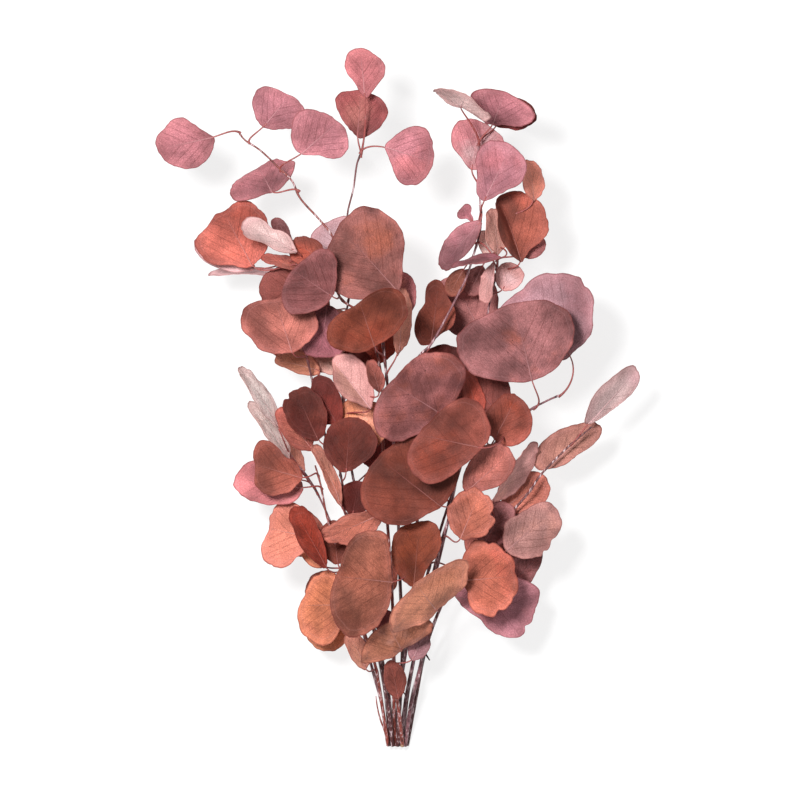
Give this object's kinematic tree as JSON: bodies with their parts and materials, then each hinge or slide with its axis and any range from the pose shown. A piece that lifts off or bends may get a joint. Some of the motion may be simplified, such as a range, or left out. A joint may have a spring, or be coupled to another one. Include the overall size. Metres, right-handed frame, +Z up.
{
  "type": "bunch of dried eucalyptus",
  "caption": "Loose hand-gathered bunch of dried eucalyptus: slim woody stems with round, softly waved leaves on short stalks, lying on its side.",
  "frame": {"origin": "on the surface under the middle of the lying bunch", "axes": "+Y from the cut ends to the leafy tips, +X across the bunch, +Z up from the surface it lies on"},
  "size_m": [0.3873, 0.5619, 0.1569],
  "materials": {
    "stem_1": "matte",
    "stem_2": "matte",
    "stem_3": "matte",
    "stem_4": "matte",
    "stem_5": "matte",
    "stem_6": "matte",
    "stem_7": "matte",
    "stem_8": "matte",
    "stem_9": "matte",
    "stem_10": "matte",
    "stem_11": "matte",
    "stem_12": "matte",
    "stem_13": "matte"
  },
  "bodies": {
    "root": {"stem_1": "stem_1", "stem_2": "stem_2", "stem_3": "stem_3", "stem_4": "stem_4", "stem_5": "stem_5", "stem_6": "stem_6", "stem_7": "stem_7", "stem_8": "stem_8", "stem_9": "stem_9", "stem_10": "stem_10", "stem_11": "stem_11", "stem_12": "stem_12", "stem_13": "stem_13"}
  },
  "joints": []
}
